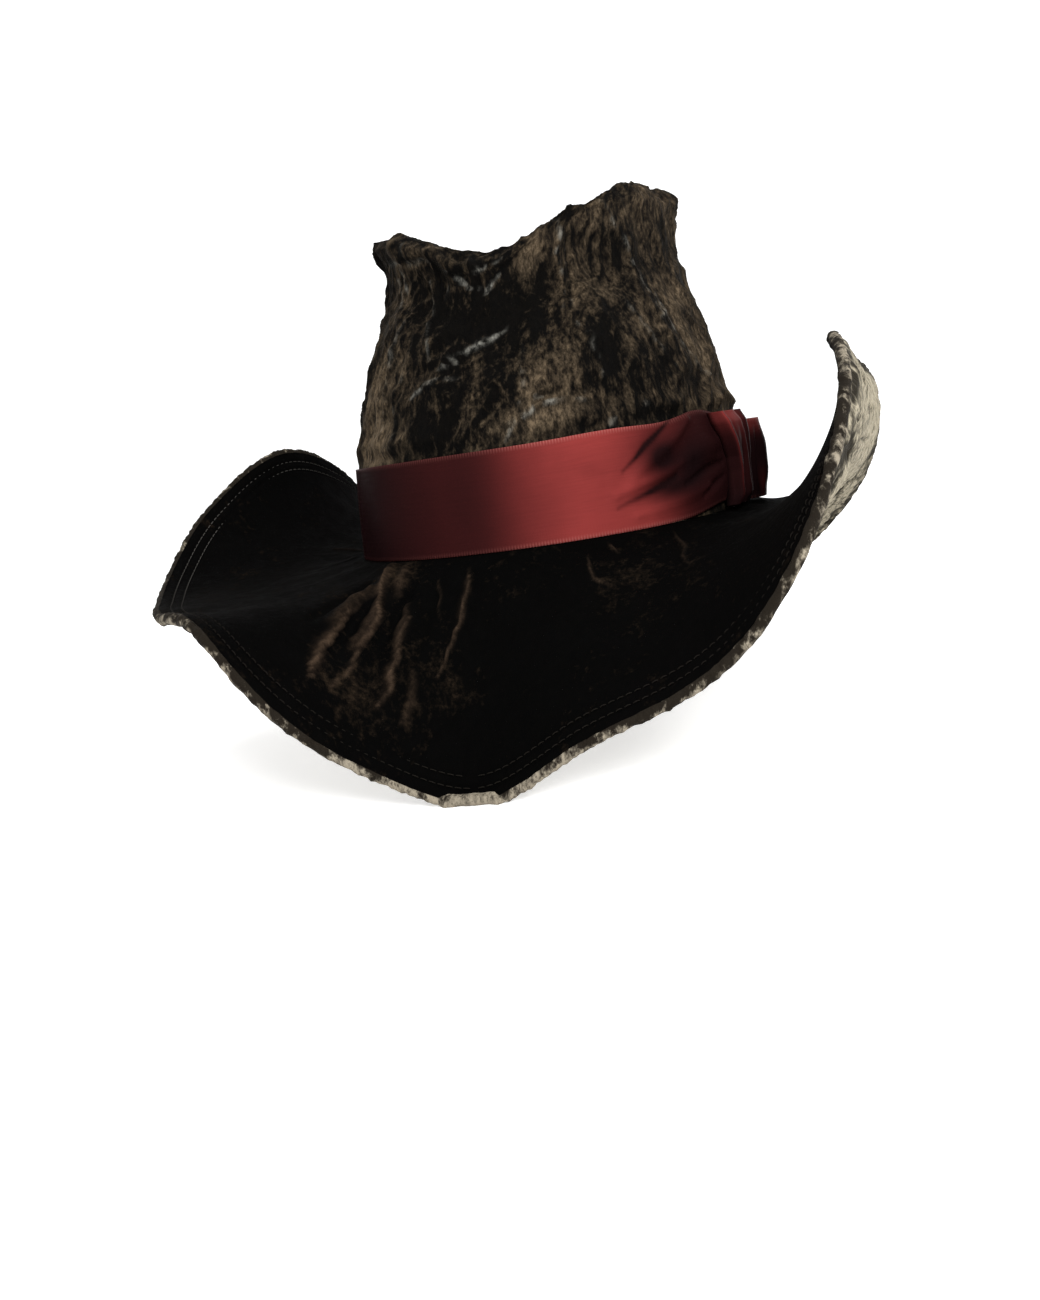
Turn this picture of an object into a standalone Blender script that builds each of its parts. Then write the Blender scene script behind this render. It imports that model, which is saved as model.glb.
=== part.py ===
"""A crushed velvet hat with a creased crown, a wide brim rolled up at both sides, and a tied ribbon band.

Metres, +Z up, the hat's front towards -Y and the wearer's left towards +X.
The hat stands on z = 0, with the middle of its footprint at the origin.
Azimuths are degrees round the crown: 0 at the front, positive towards the wearer's left.
"""

import math

import bmesh
import bpy
from mathutils import Vector

# The head opening, inside the crown
HEAD_LENGTH = 0.200
HEAD_WIDTH = 0.170

# The crown, measured up from the brim
CROWN_HEIGHT = 0.142
CROWN_WALL = 0.0025
CROWN_LEAN = 0.004
CREASE_DEPTH = 0.036
CREASE_WIDTH_RIGHT = 0.030
CREASE_WIDTH_LEFT = 0.038
RIM_ROUNDING = 0.006
TIP_SLOPE = 0.035

# The brim, two velvet layers sewn together
BRIM_WIDTH = 0.098
BRIM_LAYER = 0.002
BRIM_CURL = 1.25
FLATTENED = 0.0105

# The ribbon band, its knot and the loop behind the knot
RIBBON_WIDTH = 0.040
RIBBON_WALL = 0.0012
KNOT_BULGE = 0.008
LOOP_BULGE = 0.0105

# Pieces that touch stay this far apart
GAP = 0.0003

# The flat ring of the brim that the crown and the ribbon stand on
SEAT = CROWN_WALL + RIBBON_WALL + 3 * GAP

# How far the brim's underside lies below the seam between its layers
BELOW_SEAM = BRIM_LAYER + GAP / 2
TINY = 1e-7

# How finely the cloth is divided
AROUND = 72
ROWS_UNDER_RIBBON = 2
ROWS_ABOVE_RIBBON = 8
TIP_RINGS = (0.94, 0.83, 0.66, 0.45, 0.22)
BRIM_RINGS = (0.12, 0.26, 0.40, 0.54, 0.68, 0.81, 0.92, 1.0)
SECTION_STEPS = 100

# The crown's breadth at each height, as a share of its breadth at the brim
CROWN_SECTIONS = (
    {"height": 0.00, "right": 1.000, "front": 1.00, "left": 1.00, "back": 1.00},
    {"height": 0.30, "right": 0.970, "front": 0.97, "left": 1.00, "back": 0.99},
    {"height": 0.45, "right": 0.920, "front": 0.93, "left": 0.98, "back": 0.96},
    {"height": 0.60, "right": 0.850, "front": 0.88, "left": 0.91, "back": 0.90},
    {"height": 0.74, "right": 0.780, "front": 0.82, "left": 0.82, "back": 0.84},
    {"height": 0.85, "right": 0.735, "front": 0.77, "left": 0.79, "back": 0.80},
    {"height": 1.00, "right": 0.740, "front": 0.76, "left": 0.79, "back": 0.80},
)

# Hollows and bulges of the crown's side: depth as a share of the head's width, inward when positive
CROWN_DENTS = (
    {"azimuth": -35, "height": 0.80, "spread": 26, "tall": 0.10, "depth": 0.035},
    {"azimuth": 38, "height": 0.80, "spread": 24, "tall": 0.12, "depth": 0.035},
    {"azimuth": 108, "height": 0.80, "spread": 20, "tall": 0.07, "depth": 0.020},
    {"azimuth": -68, "height": 1.00, "spread": 9, "tall": 0.07, "depth": -0.045},
    {"azimuth": 150, "height": 0.62, "spread": 24, "tall": 0.16, "depth": 0.015},
)

# How deep the crease of the tip is at each place along the crown, from front (-1) to back (1)
CREASE_PROFILE = (
    {"along": -1.0, "depth": 0.62},
    {"along": -0.5, "depth": 0.90},
    {"along": 0.0, "depth": 1.00},
    {"along": 0.5, "depth": 0.85},
    {"along": 1.0, "depth": 0.40},
)

# The brim's slope where it leaves the crown and at its edge, in degrees above level,
# and its width as a share of the brim's full width
BRIM_SECTIONS = (
    {"azimuth": 0, "root": -45, "edge": -60, "width": 1.05},
    {"azimuth": 15, "root": -34, "edge": -46, "width": 0.97},
    {"azimuth": 30, "root": -26, "edge": -20, "width": 0.98},
    {"azimuth": 45, "root": -16, "edge": 53, "width": 1.05},
    {"azimuth": 60, "root": -8, "edge": 104, "width": 1.10},
    {"azimuth": 75, "root": -6, "edge": 128, "width": 1.09},
    {"azimuth": 90, "root": -10, "edge": 128, "width": 1.03},
    {"azimuth": 105, "root": -15, "edge": 112, "width": 1.02},
    {"azimuth": 120, "root": -18, "edge": 78, "width": 1.00},
    {"azimuth": 135, "root": -22, "edge": 22, "width": 0.98},
    {"azimuth": 150, "root": -30, "edge": -26, "width": 0.97},
    {"azimuth": 165, "root": -44, "edge": -66, "width": 1.08},
    {"azimuth": 180, "root": -46, "edge": -70, "width": 1.09},
    {"azimuth": 195, "root": -44, "edge": -66, "width": 1.08},
    {"azimuth": 210, "root": -28, "edge": -20, "width": 0.96},
    {"azimuth": 225, "root": -14, "edge": 28, "width": 0.97},
    {"azimuth": 240, "root": -4, "edge": 74, "width": 0.99},
    {"azimuth": 255, "root": 0, "edge": 86, "width": 1.03},
    {"azimuth": 270, "root": -4, "edge": 54, "width": 1.00},
    {"azimuth": 285, "root": -8, "edge": 21, "width": 0.96},
    {"azimuth": 300, "root": -10, "edge": 8, "width": 0.93},
    {"azimuth": 315, "root": -12, "edge": 8, "width": 0.95},
    {"azimuth": 330, "root": -18, "edge": 10, "width": 0.97},
    {"azimuth": 345, "root": -37, "edge": -44, "width": 0.975},
)

# The knot from its foot to its top: height as a share of the ribbon's width, and fullness
KNOT_ROWS = (
    {"height": 0.04, "full": 0.60},
    {"height": 0.14, "full": 0.92},
    {"height": 0.50, "full": 1.00},
    {"height": 0.92, "full": 0.92},
    {"height": 1.04, "full": 0.60},
)

# The knot's outside round the crown: azimuth, and the share of its bulge
KNOT_OUTSIDE = (
    {"azimuth": 70.0, "bulge": 0.45},
    {"azimuth": 71.0, "bulge": 0.80},
    {"azimuth": 73.5, "bulge": 0.97},
    {"azimuth": 77.5, "bulge": 1.00},
    {"azimuth": 81.5, "bulge": 0.97},
    {"azimuth": 84.0, "bulge": 0.80},
    {"azimuth": 85.0, "bulge": 0.45},
)

# The loop from its foot to its top
LOOP_ROWS = (
    {"height": 0.03, "full": 0.82},
    {"height": 0.35, "full": 1.00},
    {"height": 0.65, "full": 0.97},
    {"height": 0.92, "full": 0.76},
)

# The loop's outside round the crown
LOOP_OUTSIDE = (
    {"azimuth": 90.0, "bulge": 0.34},
    {"azimuth": 91.2, "bulge": 0.60},
    {"azimuth": 93.5, "bulge": 0.86},
    {"azimuth": 97.0, "bulge": 1.00},
    {"azimuth": 101.5, "bulge": 0.96},
    {"azimuth": 106.5, "bulge": 0.76},
    {"azimuth": 111.5, "bulge": 0.54},
    {"azimuth": 115.5, "bulge": 0.36},
)


def smooth_step(share):
    share = min(max(share, 0.0), 1.0)
    return share * share * (3 - 2 * share)


def cubic(before, low, high, after, share):
    """The smooth value between low and high, given the values on either side of them."""
    bend = 2 * before - 5 * low + 4 * high - after
    turn = 3 * (low - high) + after - before
    return low + 0.5 * share * (high - before + share * (bend + share * turn))


def from_table(rows, key, column, place):
    """Reads a column smoothly from a table whose rows rise by key. Past the ends, it keeps the end's value."""
    place = min(max(place, rows[0][key]), rows[-1][key])
    index = 0
    while index < len(rows) - 2 and place > rows[index + 1][key]:
        index += 1
    share = (place - rows[index][key]) / (rows[index + 1][key] - rows[index][key])
    picked = [rows[min(max(index + step, 0), len(rows) - 1)][column] for step in (-1, 0, 1, 2)]
    return cubic(*picked, share)


def round_table(rows, column, azimuth):
    """Reads a column smoothly from a table with even steps that goes once round the hat."""
    place = (azimuth % 360) / 360 * len(rows)
    index = int(place)
    picked = [rows[(index + step) % len(rows)][column] for step in (-1, 0, 1, 2)]
    return cubic(*picked, place - index)


def oval(azimuth, grown):
    """A point of the head's oval, grown outwards by a distance."""
    angle = math.radians(azimuth)
    across = HEAD_WIDTH / 2 + grown
    along = HEAD_LENGTH / 2 + grown
    return Vector((across * math.sin(angle), -along * math.cos(angle), 0))


def outward(azimuth):
    """The level direction straight out of the head's oval."""
    angle = math.radians(azimuth)
    return Vector((HEAD_LENGTH * math.sin(angle), -HEAD_WIDTH * math.cos(angle), 0)).normalized()


def crease_at(x, y):
    """How far the tip is pressed in at a place over the head's oval."""
    along = y / (HEAD_LENGTH / 2 * CROWN_SECTIONS[-1]["front"])
    width = CREASE_WIDTH_LEFT if x > 0 else CREASE_WIDTH_RIGHT
    return CREASE_DEPTH * from_table(CREASE_PROFILE, "along", "depth", along) * math.exp(-((x / width) ** 2))


def breadth(height, azimuth):
    """The crown's breadth as a share of its breadth at the brim, at a height share and an azimuth."""
    angle = math.radians(azimuth)
    sides = {
        "front": max(math.cos(angle), 0) ** 2,
        "back": max(-math.cos(angle), 0) ** 2,
        "left": max(math.sin(angle), 0) ** 2,
        "right": max(-math.sin(angle), 0) ** 2,
    }
    return sum(weight * from_table(CROWN_SECTIONS, "height", side, height) for side, weight in sides.items())


def dent_at(height, azimuth):
    """How far the crown's side is pushed in at a height share and an azimuth."""
    total = 0.0
    for dent in CROWN_DENTS:
        turn = (azimuth - dent["azimuth"] + 180) % 360 - 180
        near = math.exp(-((turn / dent["spread"]) ** 2) - ((height - dent["height"]) / dent["tall"]) ** 2)
        total += dent["depth"] * HEAD_WIDTH * near
    return total


def tip_height(x, y):
    """The height of the crown's top over a place of the head's oval."""
    return CROWN_HEIGHT + TIP_SLOPE * x - crease_at(x, y)


def crown_point(height, azimuth):
    """A point of the crown's outer face, at a height share from 0 at the brim to 1 at the rim."""
    point = oval(azimuth, CROWN_WALL) * breadth(height, azimuth)
    above_ribbon = smooth_step((height * CROWN_HEIGHT - RIBBON_WIDTH) / (CROWN_HEIGHT - RIBBON_WIDTH))
    point -= outward(azimuth) * dent_at(height, azimuth) * above_ribbon ** 0.5
    rim_drop = tip_height(point.x, point.y) - CROWN_HEIGHT
    point.x += CROWN_LEAN * above_ribbon
    point.z = GAP + height * CROWN_HEIGHT + rim_drop * above_ribbon
    return point


def ribbon_point(height, azimuth, off):
    """A point off the crown's side by a distance, at a height share of the ribbon's width."""
    return crown_point(height * RIBBON_WIDTH / CROWN_HEIGHT, azimuth) + outward(azimuth) * off


def azimuths():
    return [360 * step / AROUND for step in range(AROUND)]


def crown_rings():
    """Rings of points from the crown's bottom edge up its side, over the rim and in to the middle of the tip."""
    start = RIBBON_WIDTH / CROWN_HEIGHT
    rounding = RIM_ROUNDING / CROWN_HEIGHT
    shares = [start * row / ROWS_UNDER_RIBBON for row in range(ROWS_UNDER_RIBBON + 1)]
    shares += [start + (1 - rounding - start) * row / ROWS_ABOVE_RIBBON for row in range(1, ROWS_ABOVE_RIBBON + 1)]
    rings = [[crown_point(share, azimuth) for azimuth in azimuths()] for share in shares]
    for inner in TIP_RINGS:
        ring = []
        for azimuth in azimuths():
            rim = crown_point(1, azimuth)
            x = (rim.x - CROWN_LEAN) * inner
            y = rim.y * inner
            ring.append(Vector((x + CROWN_LEAN, y, GAP + tip_height(x, y))))
        rings.append(ring)
    rings.append([Vector((CROWN_LEAN, 0, GAP + tip_height(0, 0)))])
    return rings


def brim_section(azimuth, floor=-math.inf):
    """The seam between the brim's layers, from the head opening out to the edge, laid level at the floor."""
    out = outward(azimuth)
    width = BRIM_WIDTH * round_table(BRIM_SECTIONS, "width", azimuth)
    root = round_table(BRIM_SECTIONS, "root", azimuth)
    edge = round_table(BRIM_SECTIONS, "edge", azimuth)
    place = oval(azimuth, 0) - Vector((0, 0, BELOW_SEAM))
    section = [place, place + out * SEAT]
    place = place + out * SEAT
    for index in range(SECTION_STEPS):
        share = (index + 0.5) / SECTION_STEPS
        slope = math.radians(root + (edge - root) * share ** BRIM_CURL)
        reached = place + (out * math.cos(slope) + Vector((0, 0, math.sin(slope)))) * width / SECTION_STEPS
        if reached.z < floor + BELOW_SEAM:
            reached = place + out * width / SECTION_STEPS
            reached.z = floor + BELOW_SEAM
        place = reached
        if round((index + 1) / SECTION_STEPS, 4) in BRIM_RINGS:
            section.append(place)
    return section


def brim_rings():
    """Rings of the brim's seam, with the lowest stretch of the edge lying on the floor, and the floor's height."""
    free = [brim_section(azimuth) for azimuth in azimuths()]
    floor = min(place.z for section in free for place in section) - BELOW_SEAM + FLATTENED
    sections = [brim_section(azimuth, floor) for azimuth in azimuths()]
    return [[section[row] for section in sections] for row in range(len(sections[0]))], floor


def normals(rings, level=-math.inf):
    """The direction straight off the cloth at each point of its rings, straight down where it lies level."""
    found = []
    for row, ring in enumerate(rings):
        if len(ring) == 1:
            found.append([Vector((0, 0, 1))])
            continue
        above = rings[row + 1] if row + 1 < len(rings) and len(rings[row + 1]) > 1 else ring
        below = rings[row - 1] if row > 0 else ring
        line = []
        for step, place in enumerate(ring):
            along = ring[(step + 1) % len(ring)] - ring[step - 1]
            across = above[step] - below[step]
            line.append(along.cross(across).normalized() if place.z > level else Vector((0, 0, -1)))
        found.append(line)
    return found


def moved(rings, distance, level=-math.inf):
    """The rings moved straight off the cloth by a distance."""
    return [[place + off * distance for place, off in zip(ring, line)]
            for ring, line in zip(rings, normals(rings, level))]


def slab(name, outer, inner, colour, roughness, hat):
    """A closed body between two faces that are given as rings. A last ring of one point closes both faces.
    Without an inner face, the body is solid and flat at both ends."""
    shape = bmesh.new()
    faces = [[[shape.verts.new(place) for place in ring] for ring in rings] for rings in (outer, inner) if rings]
    for side, rows in enumerate(faces):
        for low, high in zip(rows, rows[1:]):
            for step in range(len(low)):
                after = (step + 1) % len(low)
                triangles = [[low[step], low[after], high[after % len(high)]]]
                if len(high) > 1:
                    triangles.append([low[step], high[after], high[step]])
                for corners in triangles:
                    shape.faces.new(corners if side == 0 else corners[::-1])
    for end in (0, -1):
        first, second = faces[0][end], faces[-1][end]
        if len(first) == 1:
            continue
        if not inner:
            shape.faces.new(first[::-1] if end == 0 else first)
            continue
        for step in range(len(first)):
            after = (step + 1) % len(first)
            corners = [first[after], first[step], second[step], second[after]]
            shape.faces.new(corners if end == 0 else corners[::-1])
    mesh = bpy.data.meshes.new(name)
    shape.to_mesh(mesh)
    shape.free()
    piece = bpy.data.objects.new(name, mesh)
    bpy.context.scene.collection.objects.link(piece)
    piece.parent = hat
    piece.data.materials.append(material(name, colour, roughness))
    return piece


def material(name, colour, roughness):
    made = bpy.data.materials.new(name)
    made.use_nodes = True
    shader = made.node_tree.nodes["Principled BSDF"]
    shader.inputs["Base Color"].default_value = (*colour, 1)
    shader.inputs["Roughness"].default_value = roughness
    shader.inputs["Metallic"].default_value = 0
    return made


def crown(hat):
    """The crown: one velvet shell, open at the head, with a creased tip."""
    outer = crown_rings()
    inner = moved(outer, -CROWN_WALL)
    for place in inner[0]:
        place.z = GAP
    return slab("crown", outer, inner, (0.050, 0.038, 0.025), 0.75, hat)


def brim_layer(name, seam, side, floor, colour, hat):
    """One layer of the brim, above (side 1) or below (side -1) the seam between the two."""
    level = floor + BELOW_SEAM + TINY
    near = moved(seam, -side * GAP / 2, level)
    far = moved(seam, -side * (GAP / 2 + BRIM_LAYER), level)
    faces = (near, far) if side > 0 else (far, near)
    return slab(name, *faces, colour, 0.8, hat)


def hatband(hat):
    """The ribbon round the foot of the crown, open above and below."""
    heights = [row / ROWS_UNDER_RIBBON for row in range(ROWS_UNDER_RIBBON + 1)]
    outer, inner = (
        [[ribbon_point(height, azimuth, off) for azimuth in azimuths()] for height in heights]
        for off in (GAP + RIBBON_WALL, GAP)
    )
    return slab("hatband", outer, inner, (0.110, 0.020, 0.030), 0.35, hat)


def wrapped(rows, outside, bulge):
    """Rings round something that lies on the ribbon: its outside bulges and its inside keeps to the band."""
    off = GAP + RIBBON_WALL + GAP
    first, last = outside[0]["azimuth"], outside[-1]["azimuth"]
    inside = [azimuth for azimuth in azimuths() if first <= azimuth <= last][::-1]
    rings = []
    for row in rows:
        ring = [ribbon_point(row["height"], spot["azimuth"], off + bulge * row["full"] * spot["bulge"])
                for spot in outside]
        ring += [ribbon_point(row["height"], azimuth, off) for azimuth in inside]
        rings.append(ring)
    return rings


def band_knot(hat):
    """The short wrap that gathers the ribbon at the wearer's left."""
    return slab("band_knot", wrapped(KNOT_ROWS, KNOT_OUTSIDE, KNOT_BULGE), None, (0.100, 0.018, 0.028), 0.35, hat)


def band_loop(hat):
    """The ribbon's loop behind the knot, hollow and open above and below."""
    outer = wrapped(LOOP_ROWS, LOOP_OUTSIDE, LOOP_BULGE)
    inner = moved(outer, -RIBBON_WALL)
    for high, low in zip(outer, inner):
        for place, inside in zip(high, low):
            inside.z = place.z
    return slab("band_loop", outer, inner, (0.080, 0.014, 0.022), 0.35, hat)


def main():
    for old in list(bpy.data.objects):
        bpy.data.objects.remove(old)
    hat = bpy.data.objects.new("hat", None)
    bpy.context.scene.collection.objects.link(hat)
    seam, floor = brim_rings()
    pieces = [
        crown(hat),
        brim_layer("brim_top", seam, 1, floor, (0.012, 0.009, 0.007), hat),
        brim_layer("brim_under", seam, -1, floor, (0.200, 0.170, 0.120), hat),
        hatband(hat),
        band_knot(hat),
        band_loop(hat),
    ]
    corners = [vertex.co for piece in pieces for vertex in piece.data.vertices]
    middle = [(min(c[axis] for c in corners) + max(c[axis] for c in corners)) / 2 for axis in (0, 1)]
    hat.location = (-middle[0], -middle[1], -floor)


main()
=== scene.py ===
"""The looks of a crushed velvet hat: crinkled velvet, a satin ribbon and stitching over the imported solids."""

import math

import bpy
import numpy as np
from mathutils import Matrix, Vector


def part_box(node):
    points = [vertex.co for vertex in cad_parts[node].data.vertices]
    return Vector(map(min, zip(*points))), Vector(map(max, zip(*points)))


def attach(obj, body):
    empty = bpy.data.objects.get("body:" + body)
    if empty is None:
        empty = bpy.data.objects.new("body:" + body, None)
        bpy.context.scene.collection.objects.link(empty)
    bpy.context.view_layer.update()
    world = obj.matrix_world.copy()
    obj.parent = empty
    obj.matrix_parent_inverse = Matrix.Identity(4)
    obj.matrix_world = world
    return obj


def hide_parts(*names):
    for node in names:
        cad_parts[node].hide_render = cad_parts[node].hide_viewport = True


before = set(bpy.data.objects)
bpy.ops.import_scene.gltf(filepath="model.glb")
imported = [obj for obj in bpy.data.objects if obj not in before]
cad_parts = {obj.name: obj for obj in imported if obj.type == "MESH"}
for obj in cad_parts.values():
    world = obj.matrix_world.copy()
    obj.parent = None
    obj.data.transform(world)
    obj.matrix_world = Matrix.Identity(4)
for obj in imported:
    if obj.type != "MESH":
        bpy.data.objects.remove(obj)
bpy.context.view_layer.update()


def table(columns, *rows):
    """Rows of values under the names of their columns."""
    return tuple(dict(zip(columns.split(), row)) for row in rows)


# The sizes that the solids were made from, in metres
HEAD_LENGTH = 0.200
HEAD_WIDTH = 0.170
CROWN_HEIGHT = 0.142
CROWN_WALL = 0.0025
CROWN_LEAN = 0.004
CREASE_DEPTH = 0.036
CREASE_WIDTH_RIGHT = 0.030
CREASE_WIDTH_LEFT = 0.038
RIM_ROUNDING = 0.006
TIP_SLOPE = 0.035
BRIM_WIDTH = 0.098
BRIM_LAYER = 0.002
BRIM_CURL = 1.25
RIBBON_WIDTH = 0.040
RIBBON_WALL = 0.0012
KNOT_BULGE = 0.008
LOOP_BULGE = 0.0105
GAP = 0.0003
SEAT = CROWN_WALL + RIBBON_WALL + 3 * GAP
BELOW_SEAM = BRIM_LAYER + GAP / 2
TIP_RINGS = (0.94, 0.83, 0.66, 0.45, 0.22)

# The middle of the head opening, at the height of the brim's seat
band_low, band_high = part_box("hatband")
ROOT = np.array(((band_low.x + band_high.x) / 2, (band_low.y + band_high.y) / 2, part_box("crown")[0].z - GAP))

# How finely the cloth is divided
CROWN_STEPS = 560
CROWN_ROWS = 172
BRIM_STEPS = 860
RIBBON_STEPS = 900
RIBBON_ROWS = 40

# How many metres of cloth one degree round the hat stands for in the tables of creases
CROWN_DEGREE = 0.0014
BRIM_DEGREE = 0.00225
RIBBON_DEGREE = 0.00158

# The brim's topstitching, in metres
STITCH_INSETS = (0.0050, 0.0095)
STITCH_LENGTH = 0.0024
STITCH_PITCH = 0.0033
THREAD_RADIUS = 0.00022
THREAD_SIDES = 6
STITCH_STATIONS = 5

# The photograph's frame and viewpoint: pixels, degrees and metres
IMAGE_WIDTH, IMAGE_HEIGHT = 1040, 1300
FOCAL_PIXELS = 1270
ROOT_PIXEL = (557, 527)
VIEW_TURN, VIEW_LIFT, VIEW_ROLL = 17.0, 9.0, 8.5
VIEW_DISTANCE = 0.60

# The forms of the solids: shares of the head's oval, degrees and shares of each part's size
CROWN_SECTIONS = table("height right front left back",
    (0.00, 1.000, 1.00, 1.00, 1.00),
    (0.30, 0.970, 0.97, 1.00, 0.99),
    (0.45, 0.920, 0.93, 0.98, 0.96),
    (0.60, 0.850, 0.88, 0.91, 0.90),
    (0.74, 0.780, 0.82, 0.82, 0.84),
    (0.85, 0.735, 0.77, 0.79, 0.80),
    (1.00, 0.740, 0.76, 0.79, 0.80),
)
CROWN_DENTS = table("azimuth height spread tall depth",
    (-35, 0.80, 26, 0.10, 0.035),
    (38, 0.80, 24, 0.12, 0.035),
    (108, 0.80, 20, 0.07, 0.020),
    (-68, 1.00, 9, 0.07, -0.045),
    (150, 0.62, 24, 0.16, 0.015),
)
CREASE_PROFILE = table("along depth",
    (-1.0, 0.62), (-0.5, 0.90), (0.0, 1.00), (0.5, 0.85), (1.0, 0.40),
)
BRIM_SECTIONS = table("azimuth root edge width",
    (0, -45, -60, 1.05), (15, -34, -46, 0.97), (30, -26, -20, 0.98), (45, -16, 53, 1.05),
    (60, -8, 104, 1.10), (75, -6, 128, 1.09), (90, -10, 128, 1.03), (105, -15, 112, 1.02),
    (120, -18, 78, 1.00), (135, -22, 22, 0.98), (150, -30, -26, 0.97), (165, -44, -66, 1.08),
    (180, -46, -70, 1.09), (195, -44, -66, 1.08), (210, -28, -20, 0.96), (225, -14, 28, 0.97),
    (240, -4, 74, 0.99), (255, 0, 86, 1.03), (270, -4, 54, 1.00), (285, -8, 21, 0.96),
    (300, -10, 8, 0.93), (315, -12, 8, 0.95), (330, -18, 10, 0.97), (345, -37, -44, 0.975),
)
KNOT_ROWS = table("height full",
    (0.04, 0.60), (0.14, 0.92), (0.50, 1.00), (0.92, 0.92), (1.04, 0.60),
)
KNOT_OUTSIDE = table("azimuth bulge",
    (70.0, 0.45), (71.0, 0.80), (73.5, 0.97), (77.5, 1.00), (81.5, 0.97), (84.0, 0.80), (85.0, 0.45),
)
LOOP_ROWS = table("height full",
    (0.03, 0.82), (0.35, 1.00), (0.65, 0.97), (0.92, 0.76),
)
LOOP_OUTSIDE = table("azimuth bulge",
    (90.0, 0.34), (91.2, 0.60), (93.5, 0.86), (97.0, 1.00),
    (101.5, 0.96), (106.5, 0.76), (111.5, 0.54), (115.5, 0.36),
)

# Creases of the crown: each path runs through azimuths and height shares, width and rise are millimetres,
# pale is a painted highlight along the crease, where the pile is painted as if it caught the light
CROWN_CREASES = table("path width rise pale",
    (((-58, 0.90), (-46, 0.895), (-34, 0.90), (-16, 0.925)), 1.0, -1.3, 0.55),
    (((-16, 0.925), (-9, 0.89), (1, 0.865), (7, 0.895)), 1.1, -1.3, 0.95),
    (((-7, 0.94), (0, 0.935), (7, 0.95)), 1.2, -0.8, 0.85),
    (((-34, 0.90), (-35, 0.97)), 0.9, -0.8, 0.45),
    (((-25, 0.86), (-21, 0.76), (-20, 0.68), (-18, 0.58)), 0.9, 0.8, 0.45),
    (((-48, 0.87), (-43, 0.82), (-39, 0.75)), 1.2, 0.7, 0.60),
    (((-44, 0.88), (-36, 0.80)), 0.9, 0.6, 0.45),
    (((-15, 0.88), (-18, 0.79)), 0.9, 0.6, 0.35),
    (((29, 0.97), (30, 0.92), (27, 0.87), (29, 0.79), (27, 0.69)), 1.3, 0.9, 0.55),
    (((33, 0.92), (32, 0.80), (31, 0.69)), 1.8, -1.8, -0.50),
    (((45, 0.98), (55, 0.84), (59, 0.70), (61, 0.58)), 1.2, 1.0, 0.45),
    (((60, 0.74), (66, 0.50), (72, 0.42), (80, 0.36)), 1.1, 0.9, 0.40),
    (((-8, 0.60), (-4, 0.655), (1, 0.68), (8, 0.70)), 2.1, 0.7, 0.75),
    (((-14, 0.57), (-10, 0.61), (-7, 0.64)), 2.2, 0.7, 0.70),
    (((-23, 0.47), (-19, 0.51), (-14, 0.53), (-8, 0.535)), 1.5, 0.7, 0.90),
    (((5, 0.29), (9, 0.35), (17, 0.395), (24, 0.395), (29, 0.385)), 1.7, 1.2, 0.90),
    (((11, 0.415), (20, 0.42), (31, 0.405)), 1.4, -1.5, -0.60),
    (((34.5, 0.300), (36.5, 0.315)), 1.7, 0.8, 1.40),
    (((46, 0.345), (47, 0.35)), 1.2, 0.6, 1.20),
    (((30, 0.62), (34, 0.55), (36, 0.44)), 1.2, 0.8, 0.45),
    (((58, 0.585), (64, 0.60)), 1.4, 0.8, 0.55),
    (((-38, 0.36), (-37, 0.50), (-35, 0.66), (-31, 0.74)), 1.4, 1.4, 0.30),
    (((-30, 0.30), (-31, 0.44), (-29, 0.58)), 1.2, 1.2, 0.25),
    (((-45, 0.30), (-43, 0.45), (-41, 0.60)), 1.6, 1.2, 0.20),
    (((13, 0.62), (12, 0.52), (14, 0.45)), 1.6, 1.2, 0.25),
    (((48, 0.66), (55, 0.52), (60, 0.42)), 1.4, 1.0, 0.30),
    (((-130, 0.90), (-110, 0.93), (-92, 0.88), (-78, 0.91)), 1.1, -1.2, 0.60),
    (((112, 0.92), (135, 0.88), (160, 0.91), (184, 0.86)), 1.2, -1.2, 0.60),
    (((-100, 0.78), (-104, 0.62), (-98, 0.48), (-101, 0.36)), 1.3, 1.2, 0.40),
    (((-140, 0.74), (-134, 0.60), (-138, 0.46)), 1.4, 1.2, 0.45),
    (((-160, 0.44), (-150, 0.50), (-141, 0.49)), 1.8, 1.1, 0.80),
    (((118, 0.76), (124, 0.62), (121, 0.50), (127, 0.38)), 1.3, 1.2, 0.40),
    (((150, 0.60), (159, 0.66), (168, 0.66)), 1.9, 1.1, 0.75),
    (((172, 0.56), (176, 0.44), (173, 0.34)), 1.3, 1.1, 0.40),
)

# Painted sheen and shade on the crown's pile: lighter and darker patches, in azimuth and height share
CROWN_PATCHES = table("azimuth height spread tall light",
    (5, 0.80, 17, 0.11, -0.75),
    (-14, 0.72, 10, 0.08, -0.45),
    (-20, 0.40, 13, 0.08, -0.35),
    (-8, 0.38, 10, 0.06, -0.35),
    (17, 0.92, 10, 0.05, 0.65),
    (24, 0.56, 9, 0.13, 0.35),
    (12, 0.48, 6, 0.08, 0.35),
    (19, 0.345, 10, 0.035, 0.95),
    (42, 0.76, 9, 0.14, 0.45),
    (72, 0.70, 16, 0.30, 0.40),
    (80, 0.42, 16, 0.16, 0.35),
    (52, 0.45, 10, 0.12, -0.10),
    (-44, 0.42, 13, 0.22, 1.60),
    (-34, 0.62, 6, 0.10, 0.25),
    (-100, 0.55, 16, 0.22, 0.35),
    (-150, 0.80, 18, 0.12, -0.60),
    (125, 0.45, 14, 0.18, 0.40),
    (165, 0.80, 16, 0.12, -0.50),
    (178, 0.45, 12, 0.14, 0.45),
)
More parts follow.
